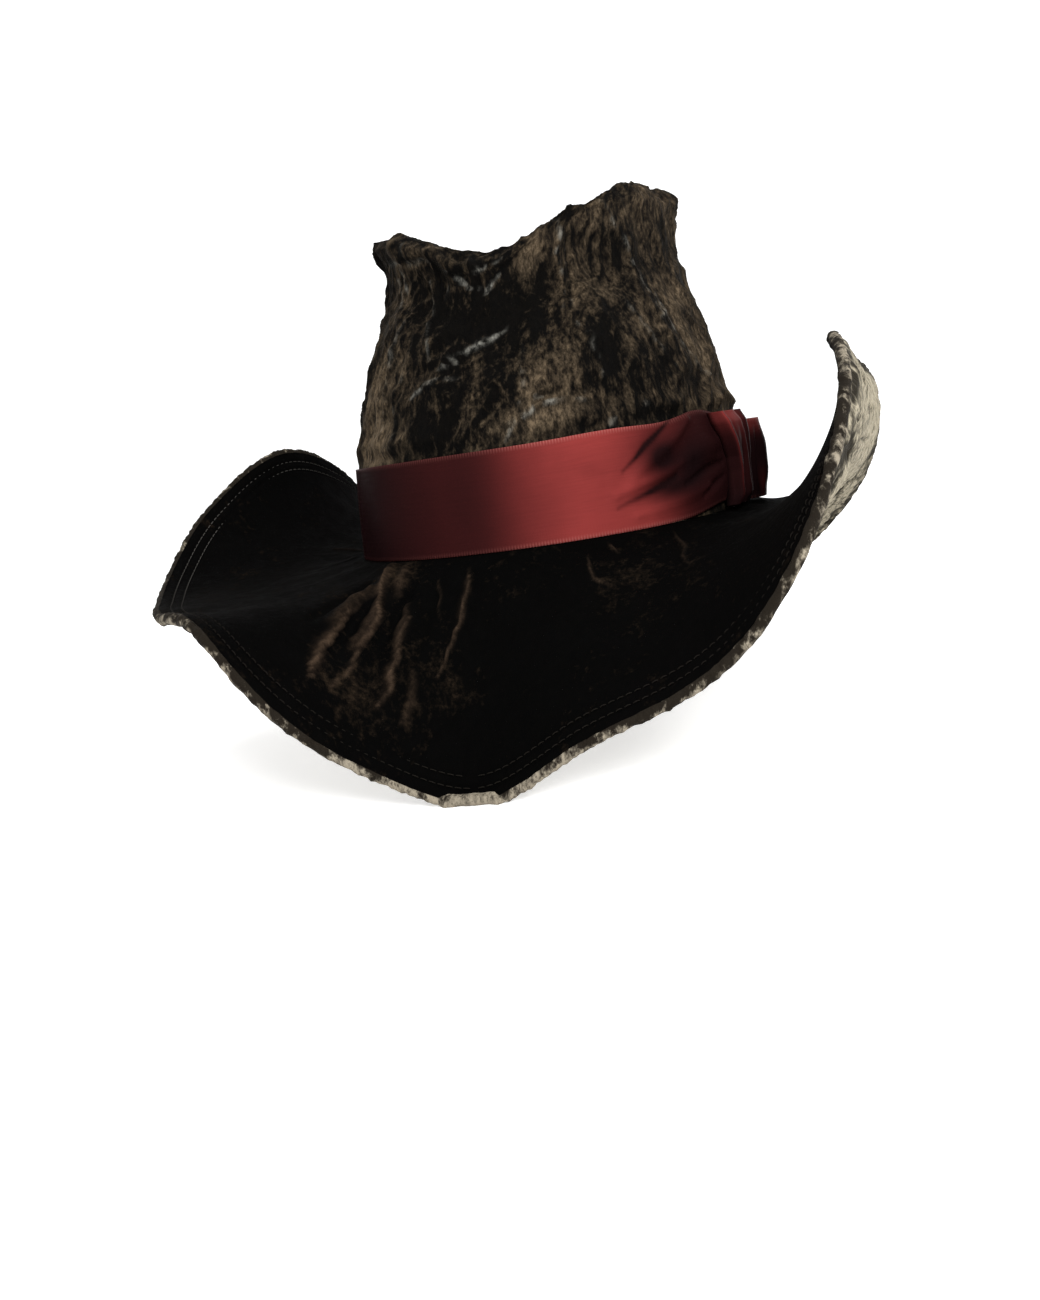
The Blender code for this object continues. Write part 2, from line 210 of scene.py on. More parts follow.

# Gathers of the brim's upper layer: each path runs through azimuths and shares of the brim's width,
# and pale is a painted highlight along each ridge
BRIM_GATHERS = table("path width rise pale",
    (((-26.5, 0.24), (-26, 0.36), (-25, 0.50)), 4.2, 2.8, 0.42),
    (((-25, 0.46), (-23.5, 0.60), (-22, 0.76)), 1.8, 1.8, 0.30),
    (((-29, 0.04), (-25, 0.18), (-22, 0.34), (-21, 0.44), (-20.6, 0.56)), 3.2, 2.6, 0.50),
    (((-25, 0.02), (-22.5, 0.12), (-20.5, 0.22)), 3.4, 1.8, 0.42),
    (((-17, 0.26), (-15.6, 0.40), (-14.8, 0.52)), 2.2, 2.0, 0.42),
    (((-14.6, 0.52), (-14.2, 0.66), (-14, 0.76)), 1.8, 1.6, 0.25),
    (((-5.4, 0.06), (-5.2, 0.20), (-5.2, 0.34)), 2.0, 1.6, 0.28),
    (((-11, 0.56), (-10.4, 0.66), (-10, 0.78)), 1.7, 1.0, 0.35),
    (((-24.4, 0.36), (-24, 0.48), (-23, 0.62), (-22, 0.79)), 0.75, 0.9, 0.95),
    (((-31, 0.02), (-25, 0.18), (-21, 0.34), (-20, 0.44), (-19.8, 0.54), (-19.8, 0.66),
     (-20, 0.77)), 0.8, 0.9, 0.95),
    (((-15.4, 0.32), (-14.8, 0.44), (-14.2, 0.50), (-13.9, 0.58), (-13.8, 0.66), (-14, 0.75)), 0.75, 0.9, 0.95),
    (((-5, 0.09), (-4.8, 0.22), (-5, 0.34), (-5.8, 0.42), (-6.4, 0.48), (-7.4, 0.56)), 0.75, 0.9, 0.80),
    (((-12, 0.12), (-9.5, 0.30)), 0.9, 0.8, 0.25),
    (((22, 0.10), (21, 0.26), (24, 0.32)), 0.9, 0.8, 0.50),
    (((44, 0.06), (41, 0.20), (37.5, 0.31), (36.5, 0.40), (38.5, 0.42)), 0.9, 0.8, 0.25),
    (((28, 0.04), (29, 0.12)), 1.1, 0.9, 0.50),
    (((-29, 0.20), (-28, 0.55)), 2.6, -1.8, -0.5),
    (((-23.6, 0.22), (-22.4, 0.62)), 1.9, -2.0, -0.5),
    (((-18.2, 0.12), (-17.4, 0.66)), 2.4, -2.0, -0.5),
    (((-11.5, 0.20), (-12, 0.55)), 2.8, -1.4, -0.3),
    (((-96, 0.05), (-94, 0.30)), 2.0, 1.2, 0.2),
    (((150, 0.04), (154, 0.30), (153, 0.46)), 2.0, 1.6, 0.5),
    (((166, 0.04), (167, 0.26), (169, 0.44)), 2.0, 1.6, 0.5),
    (((-172, 0.04), (-170, 0.34), (-171, 0.52)), 1.6, 1.6, 0.6),
    (((-158, 0.04), (-157, 0.26), (-155, 0.40)), 2.0, 1.4, 0.4),
)

# Painted sheen on patches of the brim's pile, in azimuth and share of the brim's width
BRIM_PATCHES = table("azimuth height spread tall light",
    (-19, 0.68, 5, 0.12, 0.55),
    (-12, 0.78, 5, 0.12, 0.45),
    (-24, 0.08, 5, 0.10, 0.60),
    (-5, 0.62, 4, 0.08, 0.45),
    (-16, 0.45, 9, 0.25, 0.18),
    (25, 0.34, 8, 0.13, 0.38),
    (160, 0.40, 12, 0.20, 0.50),
    (-165, 0.60, 8, 0.14, 0.45),
)

# Dents in the brim's under layer, whose last column is how much painted shade darkens the pile in the dent
UNDER_DENTS = table("path width rise pale",
    (((41, 0.97), (44, 0.93), (46, 0.89)), 2.6, -1.8, 1.8),
    (((46, 0.96), (50, 0.88), (52, 0.80)), 3.2, -2.4, 1.8),
    (((53, 0.90), (56, 0.80), (60, 0.76)), 2.6, -2.4, 1.6),
    (((60, 0.70), (64, 0.62), (68, 0.58)), 2.8, -2.2, 1.5),
    (((64, 0.86), (67, 0.78)), 1.8, -1.4, 1.2),
    (((88, 0.60), (92, 0.44), (98, 0.38)), 2.4, -2.2, 0.8),
    (((-84, 0.86), (-88, 0.66), (-86, 0.50)), 2.2, -2.2, 0.8),
    (((-104, 0.74), (-99, 0.58)), 2.0, -2.0, 0.7),
    (((-66, 0.60), (-60, 0.44), (-62, 0.30)), 2.0, -2.0, 0.7),
    (((120, 0.70), (112, 0.54)), 2.2, -2.2, 0.7),
)

# Folds of the ribbon where it is drawn into the knot: height is a share of the ribbon's width;
# pale is painted shade in the fold's groove where negative and a painted highlight on its ridge where positive
RIBBON_FOLDS = table("path width rise pale",
    (((35.5, 0.58), (40, 0.70), (43, 0.80), (48, 0.92), (53.5, 1.04)), 1.4, -2.0, -1.0),
    (((38, 0.50), (44, 0.66), (50, 0.80), (57, 0.94)), 3.6, 2.4, -0.10),
    (((33, 0.24), (40, 0.32), (45, 0.37), (51, 0.44)), 1.6, -2.0, -0.9),
    (((33, 0.36), (42, 0.46), (53, 0.56)), 2.6, 1.5, 0.12),
    (((38, 0.14), (50, 0.20), (62, 0.24)), 3.2, 1.4, 0.05),
    (((24, 0.68), (30, 0.62)), 4.2, -0.8, -0.14),
    (((54, 0.34), (62, 0.40), (70, 0.44)), 1.8, -1.8, -0.25),
    (((56, 0.60), (68, 0.66)), 5.5, 2.2, 0.0),
    (((60, 0.16), (70, 0.28)), 1.6, -1.4, -0.15),
    (((92, 0.60), (106, 0.68), (122, 0.72)), 2.2, -1.4, -0.2),
    (((92, 0.30), (110, 0.27), (128, 0.22)), 2.2, -1.2, -0.2),
)

# Painted shade where the folds shade the satin, and one painted highlight, in azimuth and share of the ribbon's width
RIBBON_PATCHES = table("azimuth height spread tall light",
    (46, 0.66, 5.5, 0.22, -0.90),
    (48, 0.33, 6, 0.11, -0.60),
    (57, 0.52, 8, 0.40, -0.95),
    (45, 0.10, 9, 0.14, 0.70),
    (38, 0.46, 5, 0.09, 0.25),
)

# Painted sheen and shade of the satin at each azimuth round the crown, brightest round azimuth 26
RIBBON_PAINTED_LIGHT = table("azimuth tone",
    (-180, 0.30), (-155, 0.48), (-130, 0.30), (-100, 0.14), (-70, 0.05), (-45, 0.02),
    (-30, 0.05), (-15, 0.09), (0, 0.15), (14, 0.66), (26, 1.00), (36, 0.86),
    (46, 0.44), (56, 0.16), (70, 0.04), (95, 0.12), (125, 0.42), (150, 0.50),
    (180, 0.30),
)


def smooth_step(share):
    share = np.clip(share, 0.0, 1.0)
    return share * share * (3 - 2 * share)


def cubic(before, low, high, after, share):
    bend = 2 * before - 5 * low + 4 * high - after
    turn = 3 * (low - high) + after - before
    return low + 0.5 * share * (high - before + share * (bend + share * turn))


def from_table(rows, key, column, place):
    """Reads a column smoothly from a table whose rows rise by key."""
    keys = np.array([row[key] for row in rows])
    values = np.array([row[column] for row in rows])
    place = np.clip(place, keys[0], keys[-1])
    index = np.clip(np.searchsorted(keys, place, side="left") - 1, 0, len(keys) - 2)
    share = (place - keys[index]) / (keys[index + 1] - keys[index])
    picked = [values[np.clip(index + step, 0, len(keys) - 1)] for step in (-1, 0, 1, 2)]
    return cubic(*picked, share)


def round_table(rows, column, azimuth):
    """Reads a column smoothly from a table with even steps that goes once round the hat."""
    values = np.array([row[column] for row in rows])
    place = (azimuth % 360) / 360 * len(rows)
    index = np.floor(place).astype(int)
    picked = [values[(index + step) % len(rows)] for step in (-1, 0, 1, 2)]
    return cubic(*picked, place - index)


def points(x, y, z):
    return np.stack(np.broadcast_arrays(x, y, z), axis=-1).astype(float)


def oval(azimuth, grown):
    """Points of the head's oval, grown outwards by a distance."""
    angle = np.radians(azimuth)
    return points((HEAD_WIDTH / 2 + grown) * np.sin(angle), -(HEAD_LENGTH / 2 + grown) * np.cos(angle), 0.0)


def outward(azimuth):
    angle = np.radians(azimuth)
    found = points(HEAD_LENGTH * np.sin(angle), -HEAD_WIDTH * np.cos(angle), 0.0)
    return found / np.linalg.norm(found, axis=-1, keepdims=True)


def crease_at(x, y):
    along = y / (HEAD_LENGTH / 2 * CROWN_SECTIONS[-1]["front"])
    width = np.where(x > 0, CREASE_WIDTH_LEFT, CREASE_WIDTH_RIGHT)
    return CREASE_DEPTH * from_table(CREASE_PROFILE, "along", "depth", along) * np.exp(-((x / width) ** 2))


def breadth(height, azimuth):
    angle = np.radians(azimuth)
    sides = {
        "front": np.maximum(np.cos(angle), 0) ** 2,
        "back": np.maximum(-np.cos(angle), 0) ** 2,
        "left": np.maximum(np.sin(angle), 0) ** 2,
        "right": np.maximum(-np.sin(angle), 0) ** 2,
    }
    return sum(weight * from_table(CROWN_SECTIONS, "height", side, height) for side, weight in sides.items())


def dent_at(height, azimuth):
    total = 0.0
    for dent in CROWN_DENTS:
        turn = (azimuth - dent["azimuth"] + 180) % 360 - 180
        near = np.exp(-((turn / dent["spread"]) ** 2) - ((height - dent["height"]) / dent["tall"]) ** 2)
        total = total + dent["depth"] * HEAD_WIDTH * near
    return total


def tip_height(x, y):
    return CROWN_HEIGHT + TIP_SLOPE * x - crease_at(x, y)


def crown_point(height, azimuth):
    """Points of the crown's outer face, from height share 0 at the brim to 1 at the rim."""
    height, azimuth = np.broadcast_arrays(np.asarray(height, float), np.asarray(azimuth, float))
    place = oval(azimuth, CROWN_WALL) * breadth(height, azimuth)[..., None]
    above_ribbon = smooth_step((height * CROWN_HEIGHT - RIBBON_WIDTH) / (CROWN_HEIGHT - RIBBON_WIDTH))
    place = place - outward(azimuth) * (dent_at(height, azimuth) * above_ribbon ** 0.5)[..., None]
    rim_drop = tip_height(place[..., 0], place[..., 1]) - CROWN_HEIGHT
    place[..., 2] = GAP + height * CROWN_HEIGHT + rim_drop * above_ribbon
    place[..., 0] += CROWN_LEAN * above_ribbon
    return place


def ribbon_point(height, azimuth, off):
    """Points off the crown's side by a distance, at a height share of the ribbon's width."""
    place = crown_point(np.asarray(height) * RIBBON_WIDTH / CROWN_HEIGHT, azimuth)
    return place + outward(azimuth) * np.asarray(off)[..., None]


def noise(x, y, z, seed):
    """Smooth noise from about -1 to 1."""
    maker = np.random.default_rng(seed)
    order = np.tile(maker.permutation(256), 3)
    arrows = maker.normal(size=(256, 3))
    arrows /= np.linalg.norm(arrows, axis=1)[:, None]
    x, y, z = np.broadcast_arrays(x, y, z)
    cells = [np.floor(axis).astype(int) for axis in (x, y, z)]
    parts = [axis - cell for axis, cell in zip((x, y, z), cells)]
    eased = [part ** 3 * (part * (part * 6 - 15) + 10) for part in parts]
    total = np.zeros(x.shape)
    for corner in range(8):
        step = (corner & 1, corner >> 1 & 1, corner >> 2 & 1)
        index = order[(cells[0] + step[0]) & 255]
        index = order[index + ((cells[1] + step[1]) & 255)]
        index = order[index + ((cells[2] + step[2]) & 255)]
        arrow = arrows[index]
        value = sum(arrow[..., axis] * (parts[axis] - step[axis]) for axis in range(3))
        weight = 1.0
        for axis in range(3):
            weight = weight * (eased[axis] if step[axis] else 1 - eased[axis])
        total += weight * value
    return total * 1.7


def layered(flow, size, seed, layers=3, stretch=1.0):
    """Noise in layers, with its largest lumps of the given size, longer up the cloth when stretched."""
    total = 0.0
    for layer in range(layers):
        scale = 2 ** layer / size
        total = total + noise(flow[..., 0] * scale, flow[..., 1] * scale, flow[..., 2] * scale / stretch,
                              seed + layer) / 2 ** layer
    return total


def wrinkles(flow, size, seed, stretch=1.0, sharp=2.0):
    """Long thin ridges: 1 on a ridge and 0 away from it."""
    bend = layered(flow, size * 2.4, seed + 50, 2)
    moved = flow + points(bend, -bend, bend * 0.5) * size * 0.7
    raw = noise(moved[..., 0] / size, moved[..., 1] / size, moved[..., 2] / size / stretch, seed)
    return np.clip(1 - np.abs(raw) * 2.2, 0, 1) ** sharp


def strokes(table, across, up, unit_across, unit_up, seed, wander=1.0):
    """The rise in metres and the paleness of a table of creases, at places given as azimuth and share."""
    rise = np.zeros(across.shape)
    pale = np.zeros(across.shape)
    u = across * unit_across
    v = up * unit_up
    flow = points(u, v, 0.0)
    u = u + 0.0013 * wander * layered(flow, 0.010, seed, 2)
    v = v + 0.0013 * wander * layered(flow, 0.010, seed + 9, 2)
    broken = 0.85 + 0.40 * wander * layered(flow, 0.006, seed + 5, 2)
    for row in table:
        spots = np.array(row["path"]) * (unit_across, unit_up)
        runs = np.diff(spots, axis=0)
        lengths = np.linalg.norm(runs, axis=1)
        nearest = np.full(across.shape, 9.0)
        travel = np.zeros(across.shape)
        for start, run, length, before in zip(spots, runs, lengths, np.cumsum(lengths) - lengths):
            share = np.clip(((u - start[0]) * run[0] + (v - start[1]) * run[1]) / length ** 2, 0, 1)
            gone = np.hypot(u - start[0] - share * run[0], v - start[1] - share * run[1])
            travel = np.where(gone < nearest, before + share * length, travel)
            nearest = np.minimum(gone, nearest)
        taper = np.sin(np.pi * np.clip(travel / lengths.sum(), 0.08, 0.92)) ** 0.35
        width = row["width"] / 1000 * taper
        rise = rise + row["rise"] / 1000 * taper * np.exp(-((nearest / width) ** 2))
        pale = pale + row["pale"] * taper * np.exp(-((nearest / width / 0.8) ** 2)) * broken
    return rise, pale


def patches(table, azimuth, height):
    total = 0.0
    for patch in table:
        turn = (azimuth - patch["azimuth"] + 180) % 360 - 180
        near = np.exp(-((turn / patch["spread"]) ** 2) - ((height - patch["height"]) / patch["tall"]) ** 2)
        total = total + patch["light"] * near
    return total


def normals(grid):
    """The direction straight off a grid of points, outwards where rows rise and columns turn left."""
    along = np.roll(grid, -1, axis=1) - np.roll(grid, 1, axis=1)
    across = np.gradient(grid, axis=0)
    found = np.cross(along, across)
    return found / np.maximum(np.linalg.norm(found, axis=-1, keepdims=True), 1e-12)


def smoothed(knots, rows, count):
    """Rows of points resampled smoothly and evenly, and the reading of each knot value at the new rows."""
    step = np.linalg.norm(np.diff(rows, axis=0), axis=-1).mean(axis=1)
    travel = np.concatenate([[0], np.cumsum(step)])
    slope = np.gradient(rows, travel, axis=0)
    place = np.linspace(0, travel[-1], count)
    index = np.clip(np.searchsorted(travel, place, side="right") - 1, 0, len(travel) - 2)
    span = (travel[index + 1] - travel[index])[:, None, None]
    t = (place - travel[index])[:, None, None] / span
    low, high = rows[index], rows[index + 1]
    made = ((2 * t ** 3 - 3 * t ** 2 + 1) * low + (t ** 3 - 2 * t ** 2 + t) * span * slope[index]
            + (3 * t ** 2 - 2 * t ** 3) * high + (t ** 3 - t ** 2) * span * slope[index + 1])
    return made, place, np.interp(place, travel, knots)


def hump(value, middle, width):
    """A smooth bell: 1 at the middle, and near 0 from twice the width away."""
    return np.exp(-((value - middle) / width) ** 2)


def joined(marks, parts):
    """Marks whose rows are put together from parts of themselves, as their grid's rows are."""
    return {key: np.concatenate(parts(rows)) for key, rows in marks.items()}


def placed(name, data):
    """A new object in the scene."""
    made = bpy.data.objects.new(name, data)
    bpy.context.scene.collection.objects.link(made)
    return made


def mesh_of(name, grid, material, marks=None, flip=False, tip=False, ring=False):
    """A piece from rows of points that go round, with named values for its material.
    A tip closes the last row, and a ring joins the last row to the first."""
    rows, around = grid.shape[:2]
    places = grid.reshape(-1, 3)
    index = np.arange(rows * around).reshape(rows, around)
    right = np.roll(index, -1, axis=1)
    quads = np.stack([index, right, np.roll(right, -1, axis=0), np.roll(index, -1, axis=0)], axis=-1)
    quads = (quads if ring else quads[:-1]).reshape(-1, 4)
    faces = [tuple(face) for face in (quads[:, ::-1] if flip else quads).tolist()]
    if tip:
        places = np.concatenate([places, grid[-1].mean(axis=0)[None]])
        faces += [(int(a), int(b), len(places) - 1) for a, b in zip(index[-1], right[-1])]
    mesh = bpy.data.meshes.new(name)
    mesh.from_pydata((places + ROOT).tolist(), [], faces)
    for key, values in (marks or {}).items():
        values = np.asarray(values, float)
        if values.shape == (rows, around):
            kind, field, values = "FLOAT", "value", values.reshape(-1)
        else:
            kind, field, values = "FLOAT_VECTOR", "vector", values.reshape(-1, 3)
        if tip:
            values = np.concatenate([values, values[-1:]])
        mesh.attributes.new(key, kind, "POINT").data.foreach_set(field, values.astype(np.float32).ravel())
    mesh.shade_smooth()
    piece = placed(name, mesh)
    mesh.materials.append(material)
    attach(piece, "root")
    return piece


class Paint:
    """A material's nodes, added one by one."""

    def __init__(self, name):
        self.material = bpy.data.materials.new(name)
        self.material.use_nodes = True
        self.tree = self.material.node_tree
        self.shader = self.tree.nodes["Principled BSDF"]

    def add(self, kind, links=None, **settings):
        made = self.tree.nodes.new(kind)
        for key, value in settings.items():
            setattr(made, key, value)
        for key, value in (links or {}).items():
            self.put(made.inputs[key], value)
        return made

    def put(self, socket, value):
        if isinstance(value, bpy.types.NodeSocket):
            self.tree.links.new(value, socket)
        else:
            socket.default_value = value

    def sum(self, kind, first, second, clamp=False):
        made = self.add("ShaderNodeMath", operation=kind, use_clamp=clamp)
        for socket, value in zip(made.inputs, (first, second)):
            self.put(socket, value)
        return made.outputs[0]

    def plus(self, first, second):
        return self.sum("ADD", first, second)

    def times(self, first, second, clamp=False):
        return self.sum("MULTIPLY", first, second, clamp)

    def mark(self, name, vector=False):
        made = self.add("ShaderNodeAttribute", attribute_name=name)
        return made.outputs["Vector" if vector else "Fac"]

    def scaled(self, vector, scale):
        return self.add("ShaderNodeMapping", {"Vector": vector, "Scale": scale}).outputs[0]

    def noise(self, vector, scale, detail=3.0, distortion=0.0, stretch=(1, 1, 1), rough=0.55):
        return self.add("ShaderNodeTexNoise", {
            "Vector": self.scaled(vector, stretch), "Scale": scale, "Detail": detail,
            "Distortion": distortion, "Roughness": rough}).outputs["Fac"]

    def range(self, value, low, high, to_low=0.0, to_high=1.0):
        return self.add("ShaderNodeMapRange", {
            "Value": value, "From Min": low, "From Max": high, "To Min": to_low, "To Max": to_high}).outputs[0]

    def mix(self, share, first, second):
        made = self.add("ShaderNodeMix", data_type="RGBA")
        self.put(made.inputs[0], share)
        self.put(made.inputs[6], first)
        self.put(made.inputs[7], second)
        return made.outputs[2]

    def set(self, **values):
        names = {"Sheen": "Sheen Weight", "SheenRough": "Sheen Roughness", "SheenTint": "Sheen Tint",
                 "Specular": "Specular IOR Level", "SpecularTint": "Specular Tint",
                 "Turned": "Anisotropic Rotation"}
        for key, value in values.items():
            self.put(self.shader.inputs[names.get(key, key)], value)


def colour(r, g, b):
    return (r, g, b, 1.0)


def velvet(name, dark, light, pale, low, high, sheen, tint, bump=0.0012, stretch=0.3, specular=0.05, grit=1.0,
           torn=0.10):
    """Crushed velvet: random patches of lighter and darker pile, painted sheen and shade from the mark nap, painted
    highlights along creases from the mark pale, and a fine pile.
    """
    paint = Paint(name)
    flow = paint.mark("flow", vector=True)
    clouds = paint.noise(flow, 38, 3, 1.2, (1, 1, 0.6))
    streaks = paint.noise(flow, 150, 5, 0.9, (1, 1, stretch), 0.66)
    grain = paint.noise(flow, 520, 4, 0.3, (1, 1, 0.5), 0.72)
    pile = paint.noise(flow, 1900, 2, 0.0, (1, 1, 0.5), 0.7)
    lean = paint.plus(paint.times(clouds, 0.5), paint.times(streaks, 0.9))
    lean = paint.plus(lean, paint.times(grain, 0.6 * grit))
    # The mark nap is painted light: sheen and shade painted onto the pile, with some random mottling
    lean = paint.plus(lean, paint.times(paint.mark("pile_and_painted_light"), 0.5))
    share = paint.sum("POWER", paint.range(lean, low, high), 1.35)
    share = paint.plus(share, 0.012)
    broken = paint.times(share, paint.range(grain, 0.34, 0.66, 0.25, 1.35))
    base = paint.mix(paint.times(broken, paint.range(pile, 0.3, 0.65, 0.7, 1.15)), colour(*dark), colour(*light))
    rough = paint.plus(grain, paint.times(paint.sum("SUBTRACT", streaks, 0.5), 0.8))
    # Painted highlight: where the mark pale says, the pile is painted pale as if it caught the light
    glint = paint.times(paint.mark("pale"), paint.range(rough, 0.38, 0.60, torn, 1.0), clamp=True)
    base = paint.mix(glint, base, colour(*pale))
    relief = paint.plus(paint.times(streaks, 0.9), paint.times(grain, 0.40))
    relief = paint.plus(relief, paint.times(pile, 0.12))
    normal = paint.add("ShaderNodeBump", {"Height": relief, "Distance": bump, "Strength": 0.9}).outputs[0]
    paint.set(Roughness=paint.range(streaks, 0.3, 0.7, 0.72, 0.95), Normal=normal)
    paint.put(paint.shader.inputs["Base Color"], base)
    paint.set(Specular=specular, Sheen=sheen, SheenRough=0.3, SheenTint=colour(*tint))
    return paint.material


def satin(name, deep, bright, shine):
    """Dyed satin: fine threads along the ribbon, a picot along both edges, slow changes of tone, and painted sheen
    and shade from the mark tone.
    """
    paint = Paint(name)
    flow = paint.mark("flow", vector=True)
    threads = paint.noise(flow, 900, 2, 0.0, (0.06, 1, 1), 0.6)
    wefts = paint.noise(flow, 1600, 1, 0.0, (1, 0.05, 1), 0.5)
    slow = paint.noise(flow, 45, 2, 0.4, (1, 0.6, 1))
    edge = paint.mark("edge")
    stitch = paint.add("ShaderNodeTexWave", {"Vector": flow, "Scale": 260.0}, wave_type="BANDS",
                       bands_direction="X").outputs["Fac"]
    uneven = paint.plus(paint.range(threads, 0.3, 0.7, 0.93, 1.03), paint.range(slow, 0.3, 0.7, -0.06, 0.08))
    # Painted light: the mark tone mixes the satin from deep to bright as painted sheen and shade, and the picot is
    # painted paler where the tone is bright
    base = paint.mix(paint.times(paint.mark("tone"), uneven, clamp=True), colour(*deep), colour(*bright))
    picot = paint.times(edge, paint.range(stitch, 0.25, 0.75, 0.15, 0.9))
    picot = paint.times(picot, paint.range(paint.mark("tone"), 0.0, 0.8, 0.12, 0.8))
    base = paint.mix(picot, base, colour(*shine))
    relief = paint.plus(paint.times(threads, 0.5), paint.times(wefts, 0.25))
    relief = paint.plus(relief, paint.times(picot, 0.9))
    normal = paint.add("ShaderNodeBump", {"Height": relief, "Distance": 0.0004, "Strength": 0.5}).outputs[0]
    paint.set(Roughness=paint.range(threads, 0.3, 0.7, 0.32, 0.44), Normal=normal)
    paint.put(paint.shader.inputs["Base Color"], base)
    paint.set(Specular=0.005, SpecularTint=colour(1.0, 0.42, 0.40), Sheen=0.0, SheenRough=0.4,
              SheenTint=colour(0.9, 0.35, 0.36), Anisotropic=0.6, Turned=0.25)
    return paint.material


def thread(name, deep, pale):
    """Sewing thread with a fine twist, painted paler as a highlight where the mark named worn says."""
    paint = Paint(name)
    place = paint.add("ShaderNodeTexCoord").outputs["Object"]
    twist = paint.noise(place, 1400, 2, 0.3)
    tone = paint.times(paint.mark("painted_highlight"), paint.range(twist, 0.3, 0.7, 0.55, 1.0), clamp=True)
    paint.put(paint.shader.inputs["Base Color"], paint.mix(tone, colour(*deep), colour(*pale)))
    normal = paint.add("ShaderNodeBump", {"Height": twist, "Distance": 0.0002, "Strength": 0.5}).outputs[0]
    paint.set(Roughness=paint.range(twist, 0.3, 0.7, 0.6, 0.8), Normal=normal)
    paint.set(Specular=0.02)
    return paint.material


crown_velvet = velvet("crown_velvet", (0.0009, 0.0009, 0.0009), (0.092, 0.067, 0.042),
                      (0.185, 0.180, 0.158), 0.92, 1.58, 0.022, (0.85, 0.68, 0.50),
                      specular=0.02)
inside_velvet = velvet("crown_inside_cloth", (0.006, 0.005, 0.004), (0.030, 0.023, 0.017),
                       (0.05, 0.04, 0.03), 0.70, 1.40, 0.05, (0.5, 0.45, 0.38), 0.0006)
# The brim's upper layer is a darker copy of the same velvet: painted shade, its pile painted near black
brim_velvet = velvet("brim_velvet", (0.0007, 0.0007, 0.0007), (0.018, 0.0120, 0.0075),
                     (0.040, 0.026, 0.017), 1.06, 1.56, 0.002, (0.6, 0.45, 0.35), 0.0006,
                     specular=0.01, torn=0.5)
# The brim's lower layer is the same velvet painted much paler: painted sheen where its pile catches the light
under_velvet_painted_sheen = velvet("brim_under_velvet", (0.010, 0.008, 0.005), (0.255, 0.226, 0.167),
                      (0.300, 0.272, 0.208), 0.68, 1.06, 0.025, (0.85, 0.80, 0.68), 0.0013)
# The welt is a paler copy of the same velvet: painted sheen along the brim's edge
edge_velvet = velvet("brim_edge_velvet", (0.008, 0.006, 0.004), (0.210, 0.182, 0.138),
                     (0.20, 0.18, 0.14), 1.08, 1.56, 0.01, (0.80, 0.74, 0.62), 0.0014,
                     stretch=1.0, grit=2.4)
ribbon_satin = satin("ribbon_satin", (0.0055, 0.0026, 0.0029), (0.160, 0.0235, 0.0215),
                     (0.260, 0.085, 0.075))
stitch_thread = thread("topstitch_thread", (0.006, 0.005, 0.004), (0.060, 0.057, 0.052))


